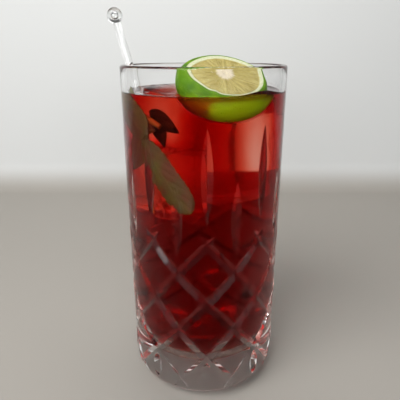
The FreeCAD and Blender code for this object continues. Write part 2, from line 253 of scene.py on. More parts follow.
def groove(lean, facets_per_pitch=8):
    """The cutter of one diagonal groove, from its upper to its lower tip."""
    steps = (ROWS - 1) * facets_per_pitch
    path = [(-GROOVE_OVERRUN, 0.0)] + [(i / facets_per_pitch, GROOVE_DEPTH) for i in range(steps + 1)]
    path.append((ROWS - 1 + GROOVE_OVERRUN, 0.0))
    path = [(lean * COLUMN_TURN / 2 * t, TOP_CROSSING - ROW_PITCH * t, depth) for t, depth in path]
    centres = [at_turn(wall_radius(up)[0], turn, up) for turn, up, _ in path]
    sections = []
    for i, (turn, up, depth) in enumerate(path):
        dip = wall_radius(up)[1]
        outward = at_turn(math.cos(dip), turn, -math.sin(dip))
        along = centres[min(i + 1, len(path) - 1)] - centres[max(i - 1, 0)]
        side = along.cross(outward).normalized()
        apex = centres[i] - outward * depth
        reach = depth + CUTTER_PROUD
        ends = [apex + (outward + side * flare) * reach for flare in (FLARE, -FLARE)]
        sections.append([apex, *ends])
    return tube_of_sections(sections)


def leaf_wheel(length, depth, middle_up, turn, steps=40):
    """The part of a V-edged wheel that cuts one upright pointed leaf."""
    wheel = length ** 2 / (8 * depth) + depth / 2
    reach = depth + CUTTER_PROUD
    swing = math.acos(1 - reach / wheel)
    deepest = wall_radius(middle_up)[0] - depth
    sections = []
    for i in range(steps + 1):
        angle = swing * (2 * i / steps - 1)
        section = []
        for into, side in ((0.0, 0.0), (reach, reach * FLARE), (reach, -reach * FLARE)):
            arm = wheel - into
            out = deepest + wheel - arm * math.cos(angle)
            section.append(Vector((side, -out, middle_up + arm * math.sin(angle))))
        sections.append(section)
    return spun(tube_of_sections(sections), turn)


def pulled_up(angle):
    """How much higher the drink climbs between the lime and the wall, at an angle from +X."""
    away = math.degrees(math.remainder(angle - math.radians(LIME_SIDE - 90), 2 * math.pi))
    return LIME_PULL * math.exp(-(away / 15) ** 2)


def build_glass():
    lip_up, lip_inside = GLASS_HEIGHT - LIP, RIM_RADIUS - RIM_WALL
    outside = [(0.0, 0.0)] + line((0.0, 0.0), (BASE_RADIUS - FOOT_ROUND, 0.0), 4)
    outside += arc(BASE_RADIUS - FOOT_ROUND, FOOT_ROUND, FOOT_ROUND, 270, 360, 16)[1:]
    outside += line((BASE_RADIUS, FOOT_ROUND), (RIM_RADIUS, lip_up), 40)
    outside += arc(RIM_RADIUS - LIP, lip_up, LIP, 0, 180, 12)[1:]
    inside = cavity(WET_TOP)
    inside += line(inside[-1], (lip_inside, lip_up), 4)[:-1]

    def lift_wet_line(angle, _, up):
        return pulled_up(angle) if up == WET_TOP else 0.0
    glass = make_object("cut_glass", lathe(outside + inside[::-1], lift=lift_wet_line))
    turns = [PATTERN_TURN + COLUMN_TURN * i for i in range(COLUMNS)]
    for lean in (1, -1):
        cut_away(glass, join_shapes([spun(groove(lean), turn) for turn in turns]))
    for size in LEAF_CUTS.values():
        cut_away(glass, join_shapes([spun(leaf_wheel(*size), turn) for turn in turns]))
    glass.data.shade_smooth()
    glass.data.set_sharp_from_angle(angle=math.radians(12))
    place(glass, "cut_glass",
          clear_material("crystal_dry", AIR_TO_GLASS, glare=0.04),
          clear_material("crystal_wet", WATER_TO_GLASS, 0.25, 0.2),
          clear_material("crystal_cut", AIR_TO_GLASS, 0.05, 0.32),
          clear_material("crystal_foot", AIR_TO_GLASS, 0.06),
          replaces="glass")
    for face in glass.data.polygons:
        middle = face.center / MM
        across = middle.to_2d().length
        if middle.z > FLOOR_UP - FLOOR_SAG and across < inner_radius(middle.z) + INSIDE_SLACK:
            wet_line = WET_TOP + pulled_up(math.atan2(middle.y, middle.x))
            face.material_index = 1 if middle.z < wet_line else 0
        elif across < wall_radius(middle.z)[0] - CUT_AT_LEAST and middle.z > UNDERSIDE_TO:
            face.material_index = 2 if middle.z > FOOT_CUTS_TO else 3


# ---------------------------------------------------------------- materials

def new_material(name):
    material = bpy.data.materials.new(name)
    material.use_nodes = True
    nodes = material.node_tree.nodes
    return material, nodes, material.node_tree.links, nodes["Principled BSDF"]


def clear_material(name, ior, roughness=0.0, glare=1.0):
    """A clear boundary that bends light by this ratio, inside to outside."""
    material, _, _, shader = new_material(name)
    shader.inputs["Base Color"].default_value = (1.0, 1.0, 1.0, 1.0)
    shader.inputs["Transmission Weight"].default_value = 1.0
    shader.inputs["Roughness"].default_value = roughness
    shader.inputs["IOR"].default_value = ior
    shader.inputs["Specular Tint"].default_value = (glare, glare, glare, 1.0)
    return material


def add_absorption(material, colour, density):
    tree = material.node_tree
    absorb = tree.nodes.new("ShaderNodeVolumeAbsorption")
    absorb.inputs["Color"].default_value = (*colour, 1.0)
    absorb.inputs["Density"].default_value = density
    tree.links.new(absorb.outputs["Volume"], tree.nodes["Material Output"].inputs["Volume"])


def place(obj, slot, *materials, replaces=None):
    """Gives a piece its materials, and fixes it to the one body. The slot argument is not used."""
    obj.data.materials.clear()
    for material in materials:
        obj.data.materials.append(material)
    if replaces:
        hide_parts(replaces)
    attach(obj, "root")


# ---------------------------------------------------------------- drink

def surface_section(drop):
    """The drink's surface from the wall, which it climbs a little, to the axis, lowered by a drop."""
    wall = inner_radius(WET_TOP)
    points = [(wall + WALL_REACH, WET_TOP - drop)]
    for i in range(25):
        away = 10.0 * (i / 24) ** 2
        points.append((wall - away, LEVEL - drop + MENISCUS_RISE * math.exp(-away / MENISCUS_WIDTH)))
    return points + [(r, LEVEL - drop) for r in (16.0, 8.0, 0.0)]


def lift_surface(angle, r, up):
    """The surface near the wall follows the raised wet line; the filling's sides and the flat middle stay."""
    if up < LEVEL - FILM_DEPTH - 0.1:
        return 0.0
    return pulled_up(angle) * math.exp(-max(0.0, inner_radius(WET_TOP) - r) / MENISCUS_WIDTH)


def build_drink():
    """The coloured filling; the hollows for each piece of ice and for the stirrer are cut from it later."""
    profile = cavity(WET_TOP - COLOUR_BELOW_FILM - 0.01, WALL_REACH)[:-1] + surface_section(COLOUR_BELOW_FILM)
    drink = make_object("red_drink", lathe(profile, lift=lift_surface), 60)
    material = clear_material("red_drink", NO_BEND)
    add_absorption(material, (0.900, 0.20, 0.0), 280.0)
    place(drink, "red_drink", material, replaces="drink")
    return drink


def finish_drink(drink, film):
    """After the hollows are cut: the filling is one material, and only the film's top bends light."""
    for obj, materials in ((drink, 1), (film, 2)):
        while len(obj.data.materials) > materials:
            obj.data.materials.pop()
    for face in drink.data.polygons:
        face.material_index = 0
    for face in film.data.polygons:
        face.material_index = 0 if face.normal.z > FILM_TOP_FACES else 1


def build_surface():
    """The thin film that is the drink's surface: its top bends light, the rest lets it straight through."""
    profile = surface_section(0.0)[::-1] + surface_section(FILM_DEPTH)
    film = make_object("drink_surface", lathe(profile, lift=lift_surface), 60)
    place(film, "red_drink", clear_material("surface_top", AIR_TO_WATER),
          clear_material("surface_under", NO_BEND))
    return film


# ---------------------------------------------------------------- ice

# name: centre (mm), full size (mm), turn, tilt and roll (degrees), least gap to the wall (mm)
ICE = {
    "ice_front_left": ((-14.5, -12.5, 130.0), (22.0, 17.0, 23.0), (-43.0, 6.0, 9.0), 6.5),
    "ice_back_left": ((-12.0, 15.0, 128.0), (27.0, 23.0, 22.0), (-38.0, -8.0, 5.0), 1.5),
    "ice_front_right": ((13.0, -20.0, 118.5), (29.0, 20.0, 41.0), (24.0, 1.0, -1.0), 0.4),
    "ice_front_middle": ((-8.5, -16.5, 103.0), (19.0, 17.0, 29.0), (-20.0, 3.0, 4.0), 4.0),
    "ice_left": ((-22.0, -11.0, 99.0), (13.0, 14.0, 33.0), (-30.0, 2.0, 3.0), 4.0),
    "ice_low_left": ((-14.0, 15.0, 99.0), (24.0, 20.0, 30.0), (28.0, -5.0, 6.0), 1.5),
    "ice_back_right": ((16.0, 13.0, 116.0), (25.0, 24.0, 26.0), (52.0, -6.0, 8.0), 1.5),
}
ICE_ROUND = 2.6
ICE_HOLLOW_GROWTH, ICE_CLEARANCE = 0.06, 0.4


def ice_points(size, growth, seed, steps=22):
    """Points and faces of a melted block about its own centre: a rounded box with gently uneven faces."""
    half = [extent / 2 for extent in size]
    bm = bmesh.new()
    bmesh.ops.create_cube(bm, size=2.0)
    bmesh.ops.subdivide_edges(bm, edges=bm.edges, cuts=steps, use_grid_fill=True)
    points = []
    for vert in bm.verts:
        corner = Vector([vert.co[i] * half[i] for i in range(3)])
        core = Vector([max(-half[i] + ICE_ROUND, min(half[i] - ICE_ROUND, corner[i])) for i in range(3)])
        out = (corner - core).normalized() if (corner - core).length > 1e-6 else Vector((0, 0, 0))
        melt = 0.55 * noise.noise(corner * 0.11 + Vector((seed, 0, 0))) + 0.12 * noise.noise(corner * 0.45)
        points.append(core + out * (ICE_ROUND + melt + growth))
    faces = [tuple(vert.index for vert in face.verts) for face in bm.faces]
    bm.free()
    return points, faces


def ice_shape(centre, size, turns, growth, seed):
    turn, tilt, roll = (math.radians(angle) for angle in turns)
    pose = Matrix.Rotation(turn, 3, "Z") @ Matrix.Rotation(tilt, 3, "X") @ Matrix.Rotation(roll, 3, "Y")
    points, faces = ice_points(size, growth, seed)
    return [pose @ p + Vector(centre) for p in points], faces


def ice_object(name, block, growth, seed, earlier):
    """One block, melted back from the glass, the lime, the stirrer and the earlier blocks' hollows."""
    centre, size, turns, wall_gap = block
    piece = make_object(name, ice_shape(centre, size, turns, growth, seed), 60)
    inside = cavity(GLASS_HEIGHT - LIP, growth - wall_gap)
    cut_away(piece, lathe([(0.0, inside[0][1])] + inside[1:] + [(0.0, inside[-1][1])], 180), "INTERSECT")
    cut_away(piece, lime_hull(ICE_CLEARANCE - growth))
    cut_away(piece, rod_shape(ICE_CLEARANCE - growth, with_ball=False))
    for hollow in earlier:
        combine(piece, hollow)
    return piece


def build_ice(drink, film):
    dry = clear_material("ice_dry", AIR_TO_ICE, 0.03)
    wet = clear_material("ice_wet", WATER_TO_ICE, 0.02)
    hollows = []
    for seed, (name, block) in enumerate(ICE.items()):
        piece = ice_object(name, block, 0.0, seed * 7.3, hollows)
        hollows.append(ice_object("hollow", block, ICE_HOLLOW_GROWTH, seed * 7.3, []))
        piece.data.shade_smooth()
        piece.data.set_sharp_from_angle(angle=math.radians(40))
        place(piece, "red_drink", wet, dry)
        for face in piece.data.polygons:
            face.material_index = 1 if face.center.z > LEVEL * MM else 0
    for hollow in hollows:
        combine(drink, hollow)
        combine(film, hollow)
    for hollow in hollows:
        discard(hollow)


# ---------------------------------------------------------------- stirrer

ROD_RADIUS, BALL_RADIUS, BUBBLE_RADIUS, TIP_OFFSET = 1.6, 3.2, 1.2, 4.0
ROD_HOLLOW_GROWTH = 0.05


def rod_axis():
    """The centre of the stirrer's tip, its direction and the length to the ball's centre."""
    tip = Vector((TIP_OFFSET, 0, rod_low.z + ROD_RADIUS))
    ball = Vector((rod_low.x + BALL_RADIUS, 0, rod_high.z - BALL_RADIUS))
    return tip, (ball - tip).normalized(), (ball - tip).length


def rod_shape(growth=0.0, with_ball=True):
    """The turned rod, tip and ball about their own axis, then leant into place."""
    tip, along, length = rod_axis()
    radius = ROD_RADIUS + growth
    profile = arc(0, 0, radius, -90, 0, 8)
    neck = math.degrees(math.asin(ROD_RADIUS / BALL_RADIUS))
    if with_ball:
        profile += line((radius, 0), (radius, length - BALL_RADIUS * math.cos(math.radians(neck))), 160)
        profile += arc(0, length, BALL_RADIUS, neck - 90, 90, 28)[1:]
    else:
        profile += line((radius, 0), (radius, length * 0.9), 10) + [(0.0, length * 0.9)]
    profile[0] = (0.0, profile[0][1])
    profile[-1] = (0.0, profile[-1][1])
    points, faces = lathe(profile, 48)
    pose = along.to_track_quat("Z", "Y").to_matrix()
    return [pose @ p + tip for p in points], faces


def ball_bubble():
    """The air bubble in the middle of the stirrer's ball."""
    tip, along, length = rod_axis()
    points, faces = lathe(arc(0, 0, BUBBLE_RADIUS, -90, 90, 16), 32)
    return [p + tip + along * length for p in points], faces


def build_stirrer(drink, film):
    cut_away(drink, rod_shape(ROD_HOLLOW_GROWTH, with_ball=False))
    cut_away(film, rod_shape(ROD_HOLLOW_GROWTH, with_ball=False))
    stirrer = make_object("clear_stirrer", rod_shape(), 30)
    cut_away(stirrer, ball_bubble())
    place(stirrer, "clear_rod", clear_material("rod_dry", AIR_TO_GLASS),
          clear_material("rod_wet", WATER_TO_GLASS), replaces="stirrer")
    for face in stirrer.data.polygons:
        face.material_index = 1 if face.center.z < LEVEL * MM else 0


# ---------------------------------------------------------------- lime

LIME_CENTRE = Vector((8.6, -13.9, 147.3))
NUB_LENGTH = 1.2
LIME_TILT, LIME_ROLL, LIME_SPIN = 26.0, 8.0, 12.0
FACE_RADIUS, WIDEST, SHOULDER, LIME_DEPTH = 16.2, 18.7, 5.0, 16.2
SKIN = 0.5
CORE_RADIUS = 2.4
# where each membrane stands, in degrees round the face
MEMBRANES = (4, 39, 78, 110, 149, 186, 219, 258, 291, 327)


def face_radius(angle):
    """Radius of the cut face, trimmed flatter with a nick on the side that the knife left."""
    radius = FACE_RADIUS + 0.35 * math.sin(2 * angle + 0.6) + 0.2 * math.sin(5 * angle)
    away = math.degrees(math.remainder(angle - math.radians(215), 2 * math.pi))
    radius -= 2.1 * math.exp(-(away / 32) ** 2)
    radius -= 0.8 * math.exp(-((away - 26) / 6) ** 2)
    return radius


def body_radius(angle, t):
    """Across and down, from the face's edge (t = 0) over the widest place to the nub (t = 1)."""
    edge = face_radius(angle)
    widest = WIDEST + 0.9 * math.cos(angle - math.radians(190))
    if t < 0.3:
        lift = (t / 0.3) * math.pi / 2
        return edge + (widest - edge) * math.sin(lift), -SHOULDER * (1 - math.cos(lift))
    fall = (t - 0.3) / 0.7 * math.pi / 2
    across = widest * math.cos(fall) ** 0.82
    down = -SHOULDER - (LIME_DEPTH - SHOULDER) * math.sin(fall) ** 1.1
    return across, down - 1.4 * math.exp(-(across / 2.6) ** 2)


def pulp_height(angle, r, edge):
    """Height of the cut face, and how much of it is pulp (1) or white skin (0)."""
    rim = edge - SKIN - 1.15 + 0.6 * math.cos(angle - math.radians(262))
    degrees = math.degrees(angle) % 360
    gap = min(abs(math.remainder(degrees - m, 360)) for m in MEMBRANES)
    from_membrane = math.radians(gap) * r
    ragged = 0.9 * noise.noise(Vector((degrees * 0.09, 0, 5.0)))
    ragged += 0.5 * noise.noise(Vector((degrees * 0.3, 0, 2.0)))
    from_white = min((rim - r) / 0.8, (r - CORE_RADIUS + ragged) / 2.6)
    from_skin = (from_membrane - 0.10) / 0.7
    pulp = max(0.0, min(1.0, from_white, from_skin))
    juicy = max(0.0, min(1.0, from_white, max(from_skin, 0.72)))
    swell = 0.28 * min(1.0, max(0.0, from_membrane / 3.0)) * min(1.0, max(0.0, (rim - r) / 2.5))
    grain = 0.10 * noise.noise(Vector((degrees * 0.55, r * 0.55, 3.0)))
    grain += 0.05 * noise.noise(Vector((degrees * 1.6, r * 1.3, 8.0)))
    height = pulp * (-0.22 + swell + grain) + (1 - pulp) * 0.04 * noise.noise(Vector((degrees * 0.3, r, 0)))
    height -= 0.35 * max(0.0, 1 - r / 1.3)
    return height, juicy


def lime_placed(points):
    """The lime's points, from its own frame with the cut face up, to where it floats."""
    lean = (Matrix.Rotation(math.radians(LIME_TILT), 3, "X")
            @ Matrix.Rotation(math.radians(LIME_ROLL), 3, "Y")
            @ Matrix.Rotation(math.radians(LIME_SPIN), 3, "Z"))
    return [lean @ p + LIME_CENTRE for p in points]


def capped_rings(sides, rings):
    """Faces of a closed skin: a first point, rings of points from it to the other end, and a last point."""
    faces = [(0, 1 + i, 1 + (i + 1) % sides) for i in range(sides)]
    for ring in range(rings - 1):
        a, b = 1 + ring * sides, 1 + (ring + 1) * sides
        faces += [(a + i, b + i, b + (i + 1) % sides, a + (i + 1) % sides) for i in range(sides)]
    bottom, last = 1 + (rings - 1) * sides, 1 + rings * sides
    faces += [(bottom + (i + 1) % sides, bottom + i, last) for i in range(sides)]
    return faces


def lime_hull(growth, sides=120, rings=30):
    """The lime's closed outline, grown, for what keeps clear of it."""
    points = [Vector((0, 0, growth))]
    for ring in range(rings + 1):
        for i in range(sides):
            angle = 2 * math.pi * i / sides
            across, down = body_radius(angle, ring / rings)
            reach = max(0.3, across) + growth
            up = growth if ring == 0 else down - growth * ring / rings
            points.append(Vector((reach * math.cos(angle), reach * math.sin(angle), up)))
    points.append(Vector((0, 0, -LIME_DEPTH - NUB_LENGTH - growth)))
    return lime_placed(points), capped_rings(sides, rings + 1)


def build_lime():
    sides, face_rings, body_rings = 480, 84, 96
    points, masks, lattice = [Vector((0, 0, -0.35))], [0.0], [Vector((0, 0, 0))]
    for ring in range(1, face_rings + 1):
        for i in range(sides):
            angle = 2 * math.pi * i / sides
            edge = face_radius(angle)
            r = edge * ring / face_rings
            height, pulp = pulp_height(angle, r, edge)
            skin = max(0.0, min(1.0, (r - (edge - SKIN)) / 0.25))
            points.append(Vector((r * math.cos(angle), r * math.sin(angle), height)))
            masks.append(pulp - skin)
            lattice.append(Vector((math.degrees(angle), r, 0)))
    for ring in range(1, body_rings):
        for i in range(sides):
            angle = 2 * math.pi * i / sides
            across, down = body_radius(angle, ring / body_rings)
            direction = Vector((math.cos(angle), math.sin(angle), 0))
            spot = direction * across + Vector((0, 0, down))
            uneven = 0.22 * noise.noise(spot * 0.16) + 0.05 * noise.noise(spot * 0.7)
            points.append(spot + direction * uneven)
            masks.append(-1.0)
            lattice.append(Vector((math.degrees(angle), across, 0)))
    points.append(Vector((0, 0, -LIME_DEPTH - NUB_LENGTH)))
    masks.append(-1.0)
    lattice.append(Vector((0, 0, 0)))
    faces = capped_rings(sides, face_rings + body_rings - 1)
    lime = make_object("half_lime", (lime_placed(points), faces), 180)
    add_point_values(lime, "part_of_lime", masks)
    add_point_vectors(lime, "turn_and_radius", lattice)
    add_point_vectors(lime, "own_place", points)
    place(lime, "lime", lime_material(), replaces="lime")


def add_point_values(obj, name, values):
    obj.data.attributes.new(name, "FLOAT", "POINT").data.foreach_set("value", values)


def add_point_vectors(obj, name, vectors):
    flat = [number for vector in vectors for number in vector]
    obj.data.attributes.new(name, "FLOAT_VECTOR", "POINT").data.foreach_set("vector", flat)


class Nodes:
    """Short ways to add and link the nodes of one material."""

    def __init__(self, name):
        self.material, self.nodes, self.links, self.shader = new_material(name)

    def add(self, kind, settings=None, **inputs):
        node = self.nodes.new(kind)
        for key, value in (settings or {}).items():
            setattr(node, key, value)
        for key, value in inputs.items():
            socket = node.inputs[key.replace("_", " ")]
            if isinstance(value, bpy.types.NodeSocket):
                self.links.new(value, socket)
            else:
                socket.default_value = value
        return node

    def attribute(self, name, output):
        return self.add("ShaderNodeAttribute", {"attribute_name": name}).outputs[output]

    def stretched(self, vector, scale):
        node = self.add("ShaderNodeMapping", Vector=vector)
        node.inputs["Scale"].default_value = scale
        return node.outputs["Vector"]

    def noise(self, vector, scale, detail=3.0, roughness=0.5):
        return self.add("ShaderNodeTexNoise", Vector=vector, Scale=scale, Detail=detail,
                        Roughness=roughness).outputs["Fac"]

    def cells(self, vector, scale, feature="F1", output="Distance"):
        node = self.add("ShaderNodeTexVoronoi", {"feature": feature}, Vector=vector, Scale=scale)
        return node.outputs[output]

    def ramp(self, value, *stops):
        node = self.add("ShaderNodeValToRGB", Fac=value)
        elements = node.color_ramp.elements
        while len(elements) < len(stops):
            elements.new(0.5)
        for element, (position, colour) in zip(elements, stops):
            element.position = position
            element.color = (*colour, 1.0)
        return node.outputs["Color"]

    def mix(self, amount, first, second):
        node = self.add("ShaderNodeMix", {"data_type": "RGBA"})
        sockets = (node.inputs["Factor"], node.inputs[6], node.inputs[7])
        for socket, value in zip(sockets, (amount, first, second)):
            if isinstance(value, bpy.types.NodeSocket):
                self.links.new(value, socket)
            else:
                socket.default_value = value if isinstance(value, float) else (*value, 1.0)
        return node.outputs[2]

    def ease(self, value, low, high, to_low=0.0, to_high=1.0):
        """The value's stretch from low to high, spread over another range and held at its ends."""
        node = self.add("ShaderNodeMapRange", {"interpolation_type": "SMOOTHSTEP"})
        self.links.new(value, node.inputs["Value"])
        for key, number in (("From Min", low), ("From Max", high), ("To Min", to_low), ("To Max", to_high)):
            node.inputs[key].default_value = number
        return node.outputs["Result"]

    def sum_of(self, *terms):
        """Adds value times weight over (value, weight) pairs."""
        total = None
        for value, weight in terms:
            node = self.add("ShaderNodeMath", {"operation": "MULTIPLY_ADD"})
            self.links.new(value, node.inputs[0])
            node.inputs[1].default_value = weight
            if total is None:
                node.inputs[2].default_value = 0.0
            else:
                self.links.new(total, node.inputs[2])
            total = node.outputs[0]
        return total

    def bump(self, height, distance, strength=1.0):
        node = self.add("ShaderNodeBump", Height=height, Strength=strength, Distance=distance)
        self.links.new(node.outputs["Normal"], self.shader.inputs["Normal"])

    def set(self, **inputs):
        for key, value in inputs.items():
            socket = self.shader.inputs[key.replace("_", " ")]
            if isinstance(value, bpy.types.NodeSocket):
                self.links.new(value, socket)
            else:
                socket.default_value = value


def lime_material():
    """Waxy pored rind, white pith and wet juice sacs that lie along each segment."""
    n = Nodes("lime_flesh_and_rind")
    part = n.attribute("part_of_lime", "Fac")
    own = n.attribute("own_place", "Vector")
    polar = n.attribute("turn_and_radius", "Vector")
    patches = n.noise(own, 0.16, 3.0)
    pores = n.cells(own, 1.15)
    rind = n.ramp(patches, (0.32, (0.040, 0.12, 0.001)), (0.5, (0.085, 0.20, 0.001)),
                  (0.68, (0.16, 0.29, 0.002)))
    rind = n.mix(n.ease(pores, 0.05, 0.3, 0.35, 0.0), rind, (0.24, 0.37, 0.01))
    height = n.add("ShaderNodeSeparateXYZ", Vector=n.add("ShaderNodeTexCoord").outputs["Object"]).outputs["Z"]
    # painted light: below the drink's level the rind is painted a much lighter yellow-green, standing in for
    # light that reaches it there
    painted_light_under_level = n.ease(height, (LEVEL + 1.5) * MM, (LEVEL - 2.5) * MM, 0.0, 0.95)
    rind = n.mix(painted_light_under_level, rind, (0.42, 0.78, 0.003))
    sacs = n.cells(n.stretched(polar, (0.16, 0.30, 1.0)), 1.0, "F1")
    sac_edge = n.cells(n.stretched(polar, (0.16, 0.30, 1.0)), 1.0, "DISTANCE_TO_EDGE")
    tone = n.noise(n.stretched(polar, (0.05, 0.12, 1.0)), 1.0, 4.0)
    pulp = n.ramp(tone, (0.35, (0.29, 0.23, 0.060)), (0.52, (0.36, 0.29, 0.085)), (0.68, (0.43, 0.36, 0.12)))
    pulp = n.mix(n.ease(sac_edge, 0.0, 0.12, 0.3, 0.0), pulp, (0.48, 0.42, 0.17))
    pith = n.ramp(n.noise(own, 1.3, 3.0), (0.35, (0.46, 0.50, 0.26)), (0.6, (0.60, 0.60, 0.42)))
    from_core = n.add("ShaderNodeSeparateXYZ", Vector=polar).outputs["Y"]
    pith = n.mix(n.ease(from_core, 5.0, 7.0), (0.60, 0.52, 0.38), pith)
    flesh = n.mix(n.ease(part, 0.1, 0.75), pith, pulp)
    colour = n.mix(n.ease(part, -0.75, -0.3), rind, flesh)
    rough = n.ease(part, -0.6, 0.4, 0.48, 0.22)
    n.set(Base_Color=colour, Roughness=rough, Subsurface_Weight=0.12, Subsurface_Scale=0.002,
          Specular_IOR_Level=0.15)
    n.shader.inputs["Subsurface Radius"].default_value = (0.9, 1.0, 0.35)
    is_pulp = n.ease(part, 0.1, 0.75)
    is_rind = n.ease(part, -0.3, -0.75)
    pulp_bump = n.add("ShaderNodeMath", {"operation": "MULTIPLY"})
    n.links.new(sacs, pulp_bump.inputs[0])
    n.links.new(is_pulp, pulp_bump.inputs[1])
    rind_bump = n.add("ShaderNodeMath", {"operation": "MULTIPLY"})
    n.links.new(n.ease(pores, 0.0, 0.35), rind_bump.inputs[0])
    n.links.new(is_rind, rind_bump.inputs[1])
    n.bump(n.sum_of((pulp_bump.outputs[0], -0.7), (rind_bump.outputs[0], 0.8)), 0.0002)
    return n.material


# ---------------------------------------------------------------- mint

LEAF_THICKNESS, VEIN_RELIEF = 0.32, 0.12
LEAF_TEETH, TOOTH_LEAN, TOOTH_DEPTH = 11, 0.72, 0.075


def leaf_half_width(u, blunt):
    """Half the width of a leaf, as a share of its widest, from stalk (0) to a sharp or a blunt tip (1)."""
    if blunt:
        return max(0.0, 1 - abs(2 * u - 1) ** 4) ** 0.6
    return math.sin(math.pi * u ** 0.78) ** 0.85 * (1 - 0.18 * u)


def vein_relief(u, v, pairs=6):
    """Height of the blade between its veins: quilted, sunk along the midrib and the side veins."""
    lean = u - 0.32 * abs(v)
    phase = lean * pairs
    off = abs(phase - round(phase)) / pairs
    side = math.exp(-(off / 0.018) ** 2) * (1 - abs(v)) ** 0.3
    mid = math.exp(-(v / 0.09) ** 2)
    quilt = 0.45 * math.cos(math.pi * 2 * (phase % 1.0) + math.pi) * (1 - abs(v))
    return quilt - 0.4 * side - 0.8 * mid, max(0.6 * side, mid)


def leaf_shape(length, width, blunt, pose, cup=0.06, steps=(110, 56)):
    """A mint leaf along +Z, facing -Y: toothed edge, quilted blade, closed with a thin back.

    pose is a function that puts a point (across, out, along) of the flat leaf where it lies.
    """
    along, across = steps
    front, back, veins = [], [], []
    for i in range(along + 1):
        u = i / along
        wide = max(0.02, leaf_half_width(u, blunt)) * width / 2
        tooth = abs(math.modf(u * LEAF_TEETH)[0] - TOOTH_LEAN) / TOOTH_LEAN - 0.5
        saw = 1 + TOOTH_DEPTH * tooth * min(1.0, 6 * u) * min(1.0, 5 * (1 - u))
        for j in range(across + 1):
            v = 2 * j / across - 1
            relief, vein = vein_relief(u, v)
            out = VEIN_RELIEF * relief - cup * width * v * v
            x = wide * v * (1 + (saw - 1) * abs(v) ** 4)
            front.append(pose(Vector((x, out + LEAF_THICKNESS / 2, u * length))))
            back.append(pose(Vector((x, out - LEAF_THICKNESS / 2, u * length))))
            veins.append(vein)
    row = across + 1
    start = len(front)
    points = front + back
    faces = []
    for i in range(along):
        for j in range(across):
            a = i * row + j
            faces.append((a, a + 1, a + row + 1, a + row))
            faces.append((start + a, start + a + row, start + a + row + 1, start + a + 1))
    rim = [i * row for i in range(along + 1)]
    far = [i * row + across for i in range(along + 1)]
    low_edge = list(range(row))
    high_edge = [along * row + j for j in range(row)]
    for edge in (rim, far, low_edge, high_edge):
        faces += [(a, b, start + b, start + a) for a, b in zip(edge, edge[1:])]
    return (points, faces), veins + veins


def on_wall(gap, turn, up, lean):
    """Lays a flat thing inside the glass, this far from its wall, with its foot at this turn and height."""
    tilt = math.radians(lean)

    def pose(p):
        x = p.x * math.cos(tilt) + p.z * math.sin(tilt)
        z = up + p.z * math.cos(tilt) - p.x * math.sin(tilt)
        radius = inner_radius(z) - gap
        return at_turn(radius + p.y, turn + math.degrees(x / radius), z)
    return pose


# name: length, width, blunt or not, gap to the wall, turn and height of its foot, lean from upright
LEAVES = {
    "mint_leaf_top": (26.0, 14.0, True, 1.0, -81.0, 139.5, 124.0),
    "mint_leaf_under": (17.0, 10.0, False, 2.8, -68.0, 129.0, 98.0),
    "mint_leaf_side": (19.0, 13.0, False, 2.0, -48.0, 125.0, 207.0),
    "mint_leaf_long": (35.5, 12.0, True, 0.9, -47.0, 122.5, 143.5),
    "mint_leaf_dark": (15.0, 7.5, False, 5.4, -45.0, 134.0, 122.0),
    "mint_leaf_curled": (14.0, 8.0, False, 6.4, -43.0, 133.0, 160.0),
}
# painted shade: these two leaves are drawn near-black, a dark thing put where the drink shows only a shaded
# patch near the stub
PAINTED_SHADE_LEAVES = ("mint_leaf_dark", "mint_leaf_curled")
PAINTED_SHADE_FACTOR = 0.12
# turn (degrees) and height (mm) of the points of the stalk and of the stub, from top to end
STALK_ROUTE = ((-62, 134), (-54, 131), (-47, 126), (-45.5, 115), (-44, 100), (-42.5, 91))
STUB_ROUTE = ((-47, 131), (-40, 130), (-33, 128.3))
STALK_OUT, STALK_RADIUS = 29.0, 0.55
STUB_OUT, STUB_RADIUS = 29.4, 1.5


def mint_material(name="mint_leaf", shade=1.0):
    n = Nodes(name)
    veins = n.attribute("veins", "Fac")
    place_in = n.attribute("own_place", "Vector")
    # shade scales the leaf's colours; the two near-black leaves use it as painted shade
    browns = [tuple(shade * c for c in colour) for colour in ((0.13, 0.05, 0.010), (0.10, 0.085, 0.010),
                                                               (0.13, 0.13, 0.018), (0.24, 0.22, 0.05))]
    blade = n.ramp(n.noise(place_in, 0.09, 3.0), (0.40, browns[0]), (0.50, browns[1]), (0.62, browns[2]))
    colour = n.mix(n.ease(veins, 0.3, 1.0, 0.0, 0.2), blade, browns[3])
    n.set(Base_Color=colour, Roughness=0.45, Subsurface_Weight=0.3, Subsurface_Scale=0.001)
    n.bump(n.noise(place_in, 2.2, 3.0), 0.0001)
    return n.material


def stalk_shape(route, radius):
    """A round stalk along a smooth route of points, thinner to its end."""
    curve = []
    for a, b in zip(route, route[1:]):
        curve += [a.lerp(b, i / 6) for i in range(6)]
    curve.append(route[-1])
    sections = []
    for i, middle in enumerate(curve):
        along = (curve[min(i + 1, len(curve) - 1)] - curve[max(i - 1, 0)]).normalized()
        side = along.orthogonal().normalized()
        up = along.cross(side)
        size = radius * (1 - 0.35 * i / len(curve))
        sections.append([middle + (side * math.cos(a) + up * math.sin(a)) * size
                         for a in [2 * math.pi * k / 16 for k in range(16)]])
    return tube_of_sections(sections)


